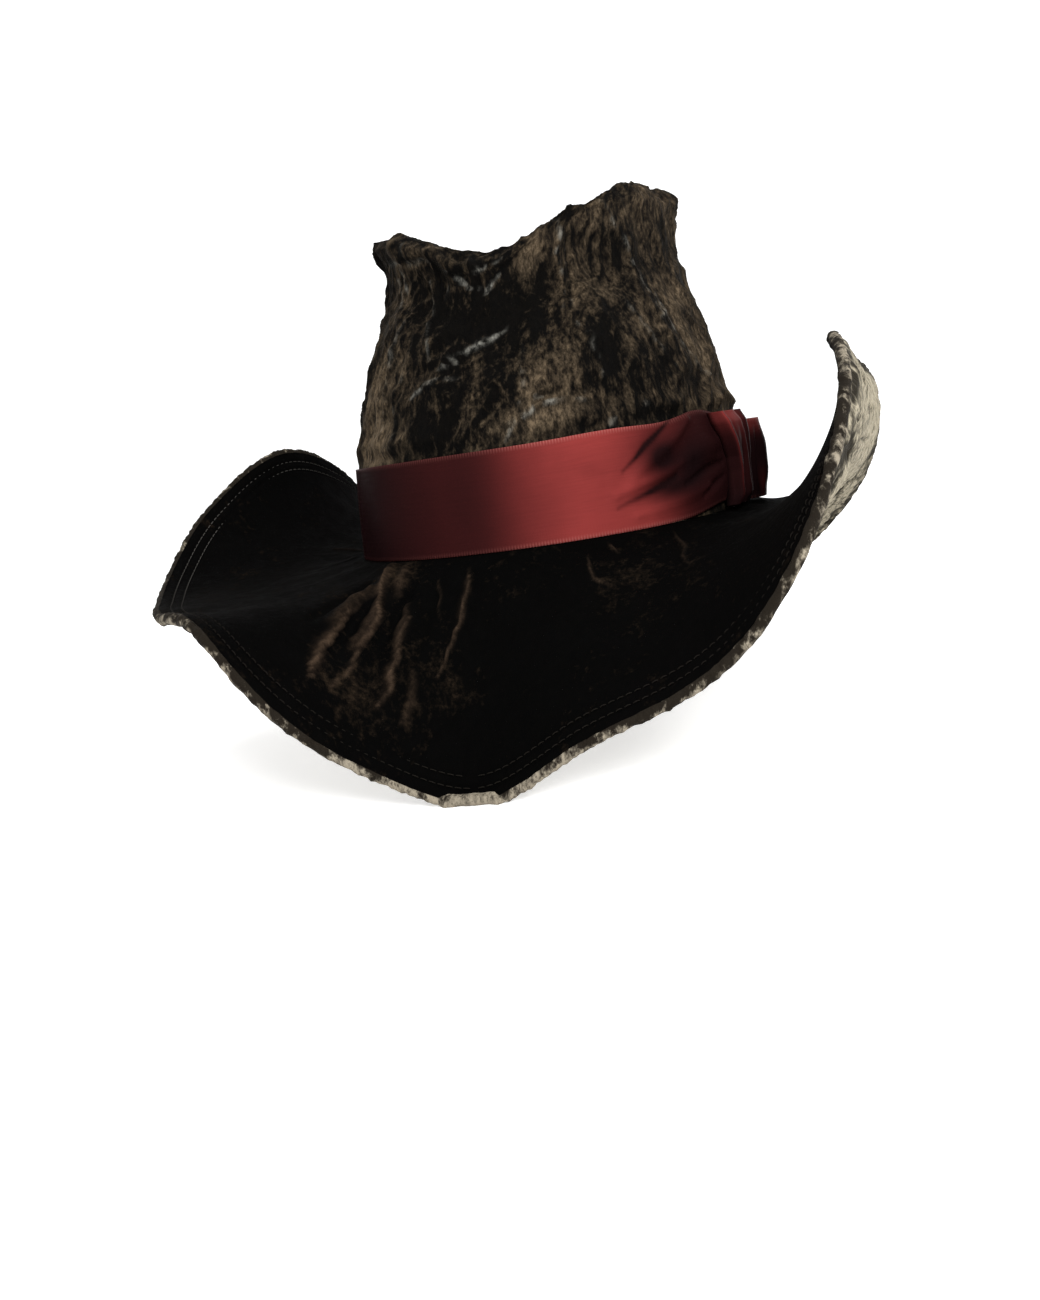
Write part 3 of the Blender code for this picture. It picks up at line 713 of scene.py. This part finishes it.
def crown():
    """The crown's velvet: its side, its puckered rim and its creased tip, with a plain inside."""
    start = RIBBON_WIDTH / CROWN_HEIGHT
    rounding = RIM_ROUNDING / CROWN_HEIGHT
    azimuth = np.arange(CROWN_STEPS) * 360 / CROWN_STEPS
    shares = np.concatenate([[0, start / 2], np.linspace(start, 1 - rounding, 9)])
    rows = [crown_point(share, azimuth) for share in shares]
    knots = list(shares)
    rim = crown_point(1, azimuth)
    for inner in TIP_RINGS + (0.04,):
        x = (rim[:, 0] - CROWN_LEAN) * inner
        y = rim[:, 1] * inner
        rows.append(points(x + CROWN_LEAN, y, GAP + tip_height(x, y)))
        knots.append(1 + (1 - inner) * 0.5)
    grid, travel, height = smoothed(np.array(knots), np.array(rows), CROWN_ROWS)
    across, up = np.meshgrid((azimuth + 180) % 360 - 180, height)
    flow = points(grid[..., 0], grid[..., 1], np.broadcast_to(travel[:, None], across.shape))
    off = normals(grid)
    rise, pale = strokes(CROWN_CREASES, across, up, CROWN_DEGREE, CROWN_HEIGHT, 11)
    lumps = layered(flow, 0.040, 3, 2, 1.4) * 0.0016
    folds = wrinkles(flow, 0.026, 21, 2.2, 1.4)
    small = wrinkles(flow, 0.012, 25, 1.9, 1.5)
    cracks = wrinkles(flow, 0.0065, 31, 1.7, 1.8)
    patch = patches(CROWN_PATCHES, across, up)
    calm = 1 - 0.6 * np.clip(-patch, 0, 1)
    puckers = hump(up, 0.95, 0.055)
    gather = puckers * (0.0011 * np.sin(np.radians(across * 17 + 40 * layered(flow, 0.03, 77, 2)))
                        + 0.0010 * layered(flow, 0.009, 71, 2))
    roll = 0.0022 * hump(up, 0.945, 0.030) * hump(across, -18, 30)
    bloom = 0.0018 * np.exp(-((up * CROWN_HEIGHT - RIBBON_WIDTH - 0.007) / 0.005) ** 2)
    crush = 0.0024 * (folds - 0.6) + 0.0011 * (small - 0.5) + 0.0004 * (cracks - 0.5)
    moved = lumps + calm * crush + gather + roll + rise - 0.0012
    free = smooth_step((up * CROWN_HEIGHT - RIBBON_WIDTH + 0.001) / 0.008)
    middle = smooth_step((1.45 - up) / 0.15)
    moved = (moved + bloom) * free * middle
    # Painted light in the mark nap: the relief's folds painted lighter on the side that slopes one way and darker on
    # the other, as if lit from one side, with the painted patches of sheen and shade and random mottling
    slope = np.gradient(moved, axis=1) / 0.00105 - 0.6 * np.gradient(moved, axis=0) / 0.0013
    pile_and_painted_light = 0.65 * patch + 0.30 * layered(flow, 0.020, 91, 3, 1.8) + 0.45 * np.tanh(1.5 * slope)
    fine = grid + off * moved[..., None]
    # The painted highlights along the creases, broken up by noise
    torn = 0.35 + 1.3 * layered(flow, 0.0045, 95, 2)
    pale = np.clip(pale * torn, -0.5, 1.2)
    shell = mesh_of("crown_cloth", fine, crown_velvet, {"flow": flow, "pile_and_painted_light": pile_and_painted_light, "pale": pale}, tip=True)
    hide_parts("crown")
    inside = (grid + off * (np.minimum(moved, 0) - CROWN_WALL - 0.0004)[..., None])[::3, ::4]
    inside[0, :, 2] = GAP
    foot = grid[:1, ::4].copy()
    foot[..., 2] = GAP
    inside = np.concatenate([foot, inside])
    mesh_of("crown_inside", inside, inside_velvet,
            {"flow": inside, "pile_and_painted_light": np.zeros(inside.shape[:2]), "pale": np.zeros(inside.shape[:2])},
            flip=True, tip=True)


def brim_sections(azimuth, floor=-math.inf):
    """The seam between the brim's layers at each azimuth, from the head opening out to the edge."""
    out = outward(azimuth)
    width = BRIM_WIDTH * round_table(BRIM_SECTIONS, "width", azimuth)
    root = round_table(BRIM_SECTIONS, "root", azimuth)
    edge = round_table(BRIM_SECTIONS, "edge", azimuth)
    place = oval(azimuth, 0) - np.array((0, 0, BELOW_SEAM))
    rows = [place, place + out * SEAT * 0.5, place + out * SEAT]
    place = rows[-1]
    steps = 100
    for index in range(steps):
        share = (index + 0.5) / steps
        slope = np.radians(root + (edge - root) * share ** BRIM_CURL)
        move = out * np.cos(slope)[:, None]
        move[:, 2] = np.sin(slope)
        reached = place + move * (width / steps)[:, None]
        low = reached[:, 2] < floor + BELOW_SEAM
        level = place + out * (width / steps)[:, None]
        level[:, 2] = floor + BELOW_SEAM
        place = np.where(low[:, None], level, reached)
        rows.append(place)
    return np.array(rows), width


def brim():
    """The brim's dark upper layer, its lower layer in a paler copy of the velvet that stands for painted sheen, the
    welt along the edge and two rows of topstitching.
    """
    azimuth = np.arange(BRIM_STEPS) * 360 / BRIM_STEPS
    floor = -ROOT[2]
    seam, width = brim_sections(azimuth, floor)
    share = np.concatenate([[-SEAT / BRIM_WIDTH, -SEAT / BRIM_WIDTH / 2], np.linspace(0, 1, len(seam) - 2)])
    across, up = np.meshgrid((azimuth + 180) % 360 - 180, share)
    level = seam[..., 2] < floor + BELOW_SEAM + 1e-6
    down = normals(seam)
    down[level] = (0, 0, -1)
    travel = up * width[None, :]
    flow = points(seam[..., 0] * 0.85, seam[..., 1] * 0.85, travel)
    inset = (1 - up) * width[None, :]
    rise, pale = strokes(BRIM_GATHERS, across, up, BRIM_DEGREE, BRIM_WIDTH, 41)
    patch = patches(BRIM_PATCHES, across, up)
    lumps = layered(flow, 0.050, 13, 2) * 0.0012
    folds = wrinkles(flow, 0.020, 61, 2.2, 2.0)
    root = np.exp(-np.clip(up, 0, 1) / 0.22)
    pleats = 0.0011 * root * np.sin(np.radians(across * 23 + 60 * layered(flow, 0.05, 83, 2)))
    free = smooth_step(travel / 0.006)
    edge = smooth_step(inset / 0.004)
    rows_of_stitches = sum(np.exp(-((inset - row) / 0.0007) ** 2) for row in STITCH_INSETS)
    moved = (rise + lumps + pleats + 0.0009 * root * (folds - 0.3)) * free * edge - 0.0006 * rows_of_stitches
    # Painted light on the upper layer: sheen patches, the fold ridges painted lighter as highlights, and random
    # mottling
    pile_and_painted_light = patch + 0.22 * layered(flow, 0.040, 17, 2) + 0.12 * (folds - 0.4) - 0.1
    top = seam - down * (GAP / 2 + BRIM_LAYER + moved)[..., None]
    top[..., 2] = np.maximum(top[..., 2], floor + BELOW_SEAM + GAP)
    inner = seam[:1] - down[:1] * GAP / 2
    marks = {"flow": flow, "pile_and_painted_light": pile_and_painted_light, "pale": np.clip(pale, -0.4, 1.1)}
    marks = joined(marks, lambda rows: (rows[:1], rows))
    piece = mesh_of("brim_top_cloth", np.concatenate([inner, top]), brim_velvet, marks, flip=True)
    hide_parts("brim_top")

    crush = wrinkles(flow, 0.013, 101, 1.4, 1.6)
    dents = np.clip(wrinkles(flow, 0.026, 121, 1.0, 3.0) - 0.25, 0, 1)
    dip, dark = strokes(UNDER_DENTS, across, up, BRIM_DEGREE, BRIM_WIDTH, 171)
    belly = 0.0065 * np.exp(-((across - 52) / 10) ** 2 - ((up - 0.72) / 0.26) ** 2)
    moved = 0.0010 * (crush - 0.4) - 0.0016 * dents + layered(flow, 0.035, 131, 2) * 0.0007
    moved = (moved + dip + belly) * free * edge
    moved = np.where(level, np.minimum(moved, 0), moved) * smooth_step((seam[..., 2] - floor - BELOW_SEAM) / 0.004)
    under = seam + down * (GAP / 2 + BRIM_LAYER + moved)[..., None]
    under[..., 2] = np.maximum(under[..., 2], floor)
    inner = seam[:1] + down[:1] * GAP / 2
    # Painted light in the under layer's pile: painted shade in the dents, darker along the edge, and the crush ridges
    # painted paler as highlights, over random mottling
    rim = np.exp(-(inset / 0.006) ** 2) * (0.6 + 0.9 * layered(flow, 0.004, 181, 2))
    pile_and_painted_light = 0.35 * layered(flow, 0.030, 141, 2) + 0.25 * crush - 0.9 * dents - 1.2 * dark - rim
    marks = {"flow": flow, "pile_and_painted_light": pile_and_painted_light, "pale": 0.3 * np.clip(crush - 0.7, 0, 1)}
    marks = joined(marks, lambda rows: (rows[:1], rows))
    piece = mesh_of("brim_under_cloth", np.concatenate([inner, under]), under_velvet_painted_sheen, marks)
    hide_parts("brim_under")

    over, below = top[-1], under[-1]
    middle = (over + below) / 2
    half = (over - below) / 2
    out = seam[-1] - seam[-2]
    out /= np.linalg.norm(out, axis=1, keepdims=True)
    ring = []
    turns = np.linspace(90, -90, 13)
    for turn in turns:
        angle = math.radians(turn)
        ring.append(middle + half * math.sin(angle) * 1.06 + out * 0.0024 * math.cos(angle))
    welt = np.array(ring)
    run = np.concatenate([[0], np.cumsum(np.linalg.norm(np.diff(over, axis=0), axis=1))])
    flow = points(welt[..., 0], welt[..., 1], welt[..., 2])
    ribs = np.sin(2 * np.pi * run / 0.0024)[None, :] * np.cos(np.radians(turns))[:, None] * 0.00022
    fuzz = layered(flow, 0.0045, 151, 2) * 0.0005
    welt = welt - normals(welt) * (ribs + fuzz)[..., None]
    welt[..., 2] = np.maximum(welt[..., 2], floor)
    turned = (azimuth + 180) % 360 - 180
    # Painted light on the welt: sheen painted brighter round the front tip and a little round azimuth 50, and its
    # upper half painted darker as shade; the flecks are random
    bright = 1.3 * hump(turned, -2, 11) + 0.10 * hump(turned, 50, 24) - 0.40
    flecks = 0.9 * layered(flow, 0.012, 161, 3) + 0.7 * layered(flow, 0.0035, 191, 2)
    upper = np.clip(np.sin(np.radians(turns)), 0, 1)[:, None]
    mesh_of("brim_welt", welt, edge_velvet,
            {"flow": flow, "pile_and_painted_light": flecks + bright[None, :] - 0.7 * upper,
             "pale": np.zeros(welt.shape[:2])}, flip=True)
    topstitching(seam, -down, width)


def topstitching(seam, off, width):
    """Two rows of stitches round the brim, inside its edge."""
    tubes, faces = [], []
    for inset in STITCH_INSETS:
        place = (len(seam) - 3) * (1 - inset / width) + 2
        low = np.floor(place).astype(int)
        part = (place - low)[:, None]
        columns = np.arange(seam.shape[1])
        line = seam[low, columns] * (1 - part) + seam[np.minimum(low + 1, len(seam) - 1), columns] * part
        lift = off[low, columns]
        line = line + lift * (GAP / 2 + BRIM_LAYER)
        travel = np.concatenate([[0], np.cumsum(np.linalg.norm(np.diff(line, axis=0), axis=1))])
        for start in np.arange(0.001, travel[-1] - STITCH_PITCH, STITCH_PITCH):
            stations = start + np.linspace(0, STITCH_LENGTH, STITCH_STATIONS)
            spine = np.stack([np.interp(stations, travel, line[:, axis]) for axis in range(3)], axis=1)
            rise = np.stack([np.interp(stations, travel, lift[:, axis]) for axis in range(3)], axis=1)
            rise /= np.linalg.norm(rise, axis=1, keepdims=True)
            arch = np.sin(np.linspace(0, np.pi, STITCH_STATIONS))
            spine = spine + rise * (arch * 0.00040 - 0.0004)[:, None]
            ahead = spine[-1] - spine[0]
            side = np.cross(rise, ahead / np.linalg.norm(ahead))
            first = len(tubes) * STITCH_STATIONS * THREAD_SIDES
            rings = []
            for station in range(STITCH_STATIONS):
                for turn in range(THREAD_SIDES):
                    angle = 2 * math.pi * turn / THREAD_SIDES
                    rings.append(spine[station] + THREAD_RADIUS * (math.cos(angle) * side[station]
                                                                   + math.sin(angle) * rise[station]))
            tubes.append(rings)
            for station in range(STITCH_STATIONS - 1):
                for turn in range(THREAD_SIDES):
                    a = first + station * THREAD_SIDES + turn
                    b = first + station * THREAD_SIDES + (turn + 1) % THREAD_SIDES
                    faces.append((a, b, b + THREAD_SIDES, a + THREAD_SIDES))
    mesh = bpy.data.meshes.new("brim_topstitching")
    places = np.array(tubes).reshape(-1, 3)
    mesh.from_pydata((places + ROOT).tolist(), [], faces)
    azimuth = np.degrees(np.arctan2(places[:, 0], -places[:, 1]))
    # Painted highlight on the stitches: paler round azimuth -88, where the stitches catch the light, and a little
    # round azimuth 150
    painted_highlight = 0.02 + hump(azimuth, -88, 26) + 0.25 * hump(azimuth, 150, 30)
    mesh.attributes.new("painted_highlight", "FLOAT", "POINT").data.foreach_set("value", painted_highlight.astype(np.float32))
    mesh.shade_smooth()
    mesh.materials.append(stitch_thread)
    piece = placed("brim_topstitching", mesh)
    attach(piece, "root")


def ribbon():
    """The satin ribbon round the foot of the crown, drawn into folds beside the knot."""
    azimuth = np.arange(RIBBON_STEPS) * 360 / RIBBON_STEPS - 180
    height = np.linspace(0, 1, RIBBON_ROWS)
    across, up = np.meshgrid(azimuth, height)
    rise, fold_tone = strokes(RIBBON_FOLDS, across, up, RIBBON_DEGREE, RIBBON_WIDTH, 201, 0.15)
    drawn = hump(across, 64, 13)
    low = 0.004 * hump(across, 72, 13)
    high = 0.0035 * hump(across, 62, 9) + 0.0010 * hump(across, 34, 14)
    at = up + (low * (1 - up) + high * up) / RIBBON_WIDTH
    flow = points(across * RIBBON_DEGREE, up * RIBBON_WIDTH, 0.0)
    slack = 0.0006 * layered(flow, 0.045, 211, 2) * np.sin(np.pi * up) ** 0.5
    puff = 0.0020 * drawn * np.sin(np.pi * np.clip(up, 0, 1)) ** 0.7
    off = GAP + RIBBON_WALL + np.maximum(slack + puff + rise, -0.0001)
    outer = ribbon_point(at, across, off)
    inner = ribbon_point(at, across, np.maximum(off - RIBBON_WALL, GAP))
    edge = np.exp(-((np.minimum(up, 1 - up) * RIBBON_WIDTH - 0.0003) / 0.0008) ** 2)
    # The mark tone is painted light: sheen and shade round the crown, painted shade and highlights of the folds, and
    # painted a little darker across the middle of the ribbon's width
    tone = from_table(RIBBON_PAINTED_LIGHT, "azimuth", "tone", across)
    fold_tone = fold_tone + patches(RIBBON_PATCHES, across, up)
    tone = np.clip(tone * (1.04 - 0.12 * np.sin(np.pi * up)) * np.clip(1 + fold_tone, 0.04, 1.6), 0, 1.1)
    marks = {"flow": flow, "edge": edge, "tone": tone}
    band = np.concatenate([outer, inner[::-1]])
    marks = joined(marks, lambda rows: (rows, rows[::-1]))
    piece = mesh_of("ribbon_band", band, ribbon_satin, marks, ring=True)
    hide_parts("hatband")


def around_band(rows, outside, bulge, count, turns, folds, seed, shift=None):
    """Finer rings of a wrap or loop on the ribbon: its outside bulges and folds, and its inside keeps to the band."""
    off = GAP + RIBBON_WALL + GAP
    first, last = outside[0]["azimuth"], outside[-1]["azimuth"]
    height = np.linspace(rows[0]["height"], rows[-1]["height"], count)
    azimuth = np.linspace(first, last, turns)
    across, up = np.meshgrid(azimuth, height)
    full = from_table(rows, "height", "full", up)
    swell = from_table(outside, "azimuth", "bulge", across)
    flow = points(across * RIBBON_DEGREE, up * RIBBON_WIDTH, 0.0)
    extra = folds(across, up) + 0.0003 * layered(flow, 0.010, seed, 2)
    at = across if shift is None else across + shift(up) * (last - across) / (last - first)
    outer = ribbon_point(up, at, off + np.maximum(bulge * full * swell + extra * smooth_step(swell * 2), 0))
    back = ribbon_point(up[:, ::-1], at[:, ::-1], np.full(up.shape, off))
    return outer, back, flow, (across - first) / (last - first), up


def knot():
    """The short wrap that gathers the ribbon: its near edge is rolled and bows in, and its top catches the light in a
    painted highlight.
    """
    def folds(across, up):
        place = (across - 70) / 15
        lip = 0.0014 * hump(place, 0.10, 0.07)
        dent = -0.0026 * np.exp(-((place - 0.34 - 0.10 * up) / 0.10) ** 2) * smooth_step(1.1 - up)
        second = -0.0018 * np.exp(-((place - 0.80 + 0.15 * up) / 0.09) ** 2)
        waist = -0.0012 * hump(up, 0.42, 0.28)
        return lip + dent + second + waist

    def shift(up):
        return np.interp(up, (0.04, 0.20, 0.40, 0.55, 0.75, 0.92, 1.04), (0.6, 1.8, 2.6, 2.2, -0.4, -3.0, -3.8))

    outer, back, flow, place, up = around_band(KNOT_ROWS, KNOT_OUTSIDE, KNOT_BULGE, 70, 70, folds, 221, shift)
    # Painted light on the wrap: highlights on its top and rolled lip, painted darker towards its foot as shade, and
    # its back painted darker still
    top = hump(up, 1.04, 0.20) * hump(place, 0.30, 0.34)
    lip = hump(place, 0.10, 0.018) * (0.08 + 0.40 * up)
    tone = np.clip(0.04 + 0.62 * top + lip + 0.10 * hump(place, 0.55, 0.12) * up, 0, 1)
    tone *= 0.25 + 0.75 * smooth_step(up / 0.35)
    ring = np.concatenate([outer, back], axis=1)
    marks = {"flow": np.concatenate([flow[..., [1, 0, 2]]] * 2, axis=1),
             "tone": np.concatenate([tone, tone * 0.3], axis=1), "edge": np.zeros(ring.shape[:2])}
    ends = []
    for row in (ring[0], ring[-1]):
        centre = row.mean(axis=0)
        ends.append(centre + (row - centre) * 0.02)
    grid = np.concatenate([ends[0][None], ring, ends[1][None]])
    marks = joined(marks, lambda rows: (rows[:1], rows, rows[-1:]))
    piece = mesh_of("ribbon_knot", grid, ribbon_satin, marks)
    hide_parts("band_knot")


def loop():
    """The puffed loop of ribbon behind the knot."""
    def folds(across, up):
        place = (across - 90) / 25
        hollow = -0.0034 * np.exp(-((place - 0.10 - 0.03 * up) / 0.045) ** 2) * hump(up, 0.45, 0.28)
        crease = -0.0018 * np.exp(-((place - 0.40 - 0.25 * up) / 0.055) ** 2)
        second = -0.0012 * np.exp(-((place - 0.68 - 0.10 * up) / 0.07) ** 2)
        return hollow + (crease + second) * np.sin(np.pi * np.clip(up, 0.02, 0.98)) ** 0.4 + 0.0006 * up

    outer, back, flow, place, up = around_band(LOOP_ROWS, LOOP_OUTSIDE, LOOP_BULGE, 46, 100, folds, 231)
    # Painted light on the loop: a highlight on its top near edge and smaller ones lower down and further round, and
    # its back painted darker as shade
    tone = 0.01 + 0.45 * hump(up, 0.92, 0.13) * hump(place, 0.12, 0.30)
    tone = tone + 0.16 * hump(place, 0.16, 0.04) * hump(up, 0.18, 0.14)
    tone = tone + 0.12 * hump(place, 0.70, 0.20)
    ring = np.concatenate([outer, back], axis=1)
    off = normals(ring)
    inner = ring - off * RIBBON_WALL
    inner[..., 2] = ring[..., 2]
    share = np.linspace(0, 1, ring.shape[0])[:, None]
    edge = np.broadcast_to(np.exp(-((np.minimum(share, 1 - share) * RIBBON_WIDTH - 0.0003) / 0.0008) ** 2),
                           ring.shape[:2])
    marks = {"flow": np.concatenate([flow, flow[:, ::-1]], axis=1), "edge": edge,
             "tone": np.concatenate([tone, tone[:, ::-1] * 0.3], axis=1)}
    grid = np.concatenate([ring, inner[::-1]])
    marks = joined(marks, lambda rows: (rows, rows[::-1]))
    piece = mesh_of("ribbon_loop", grid, ribbon_satin, marks, ring=True)
    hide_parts("band_loop")


def camera():
    """The photograph's viewpoint, a little above the brim and turned towards the wearer's left."""
    turn, lift, roll = (math.radians(angle) for angle in (VIEW_TURN, VIEW_LIFT, VIEW_ROLL))
    back = Vector((math.sin(turn) * math.cos(lift), -math.cos(turn) * math.cos(lift), math.sin(lift)))
    level = (-back).cross(Vector((0, 0, 1))).normalized()
    upright = level.cross(-back).normalized()
    right = level * math.cos(roll) - upright * math.sin(roll)
    up = level * math.sin(roll) + upright * math.cos(roll)
    data = bpy.data.cameras.new("camera")
    data.sensor_fit = "VERTICAL"
    data.sensor_height = 24
    data.lens = FOCAL_PIXELS / IMAGE_HEIGHT * 24
    ray = (-back + right * (ROOT_PIXEL[0] - IMAGE_WIDTH / 2) / FOCAL_PIXELS
           + up * (IMAGE_HEIGHT / 2 - ROOT_PIXEL[1]) / FOCAL_PIXELS)
    made = placed("camera", data)
    made.matrix_world = (Matrix.Translation(Vector(ROOT) - ray * VIEW_DISTANCE)
                         @ Matrix((right, up, back)).transposed().to_4x4())
    bpy.context.scene.camera = made


def lamp(name, place, aim, size, power):
    data = bpy.data.lights.new(name, "AREA")
    data.shape = "DISK"
    data.size = size
    data.energy = power
    made = placed(name, data)
    made.location = place
    made.rotation_euler = (Vector(aim) - Vector(place)).to_track_quat("-Z", "Y").to_euler()


def studio():
    """A pale floor that sweeps up behind, and soft light from both sides and above."""
    rows = []
    for step in range(25):
        angle = math.radians(90 * step / 24)
        rows.append((2.2 + 1.0 * math.sin(angle), 1.0 - 1.0 * math.cos(angle)))
    rows = [(-3.0, 0.0), (0.0, 0.0), (2.2, 0.0)] + rows + [(3.2, 3.5)]
    grid = np.array([[(x, depth, height) for x in np.linspace(-5, 5, 21)] for depth, height in rows])
    mesh = bpy.data.meshes.new("floor")
    index = np.arange(grid.shape[0] * 21).reshape(-1, 21)
    faces = np.stack([index[:-1, :-1], index[:-1, 1:], index[1:, 1:], index[1:, :-1]], axis=-1).reshape(-1, 4)
    mesh.from_pydata(grid.reshape(-1, 3).tolist(), [], faces.tolist())
    mesh.shade_smooth()
    paint = Paint("floor")
    place = paint.add("ShaderNodeTexCoord").outputs["Object"]
    grain = paint.noise(place, 60, 3)
    tone = paint.mix(grain, colour(0.88, 0.88, 0.88), colour(0.91, 0.91, 0.91))
    paint.put(paint.shader.inputs["Base Color"], tone)
    paint.set(Roughness=0.9, Specular=0.1)
    paint.put(paint.shader.inputs["Emission Color"], colour(1, 1, 1))
    paint.put(paint.shader.inputs["Emission Strength"], 0.45)
    mesh.materials.append(paint.material)
    placed("floor", mesh)
    world = bpy.data.worlds.new("studio")
    world.use_nodes = True
    world.node_tree.nodes["Background"].inputs["Color"].default_value = (1, 1, 1, 1)
    world.node_tree.nodes["Background"].inputs["Strength"].default_value = 0.55
    bpy.context.scene.world = world
    bpy.context.scene.view_settings.view_transform = "Standard"
    lamp("key", (0.72, -1.20, 0.85), (0.0, 0.0, 0.12), 0.7, 30)
    lamp("fill", (-1.4, -0.3, 0.9), (0.0, 0.0, 0.12), 1.1, 6)
    lamp("side", (1.5, 0.35, 0.5), (0.0, 0.0, 0.15), 1.0, 12)
    lamp("top", (0.0, 0.2, 1.6), (0.0, 0.0, 0.1), 1.0, 12)


camera()
studio()
crown()
brim()
ribbon()
knot()
loop()
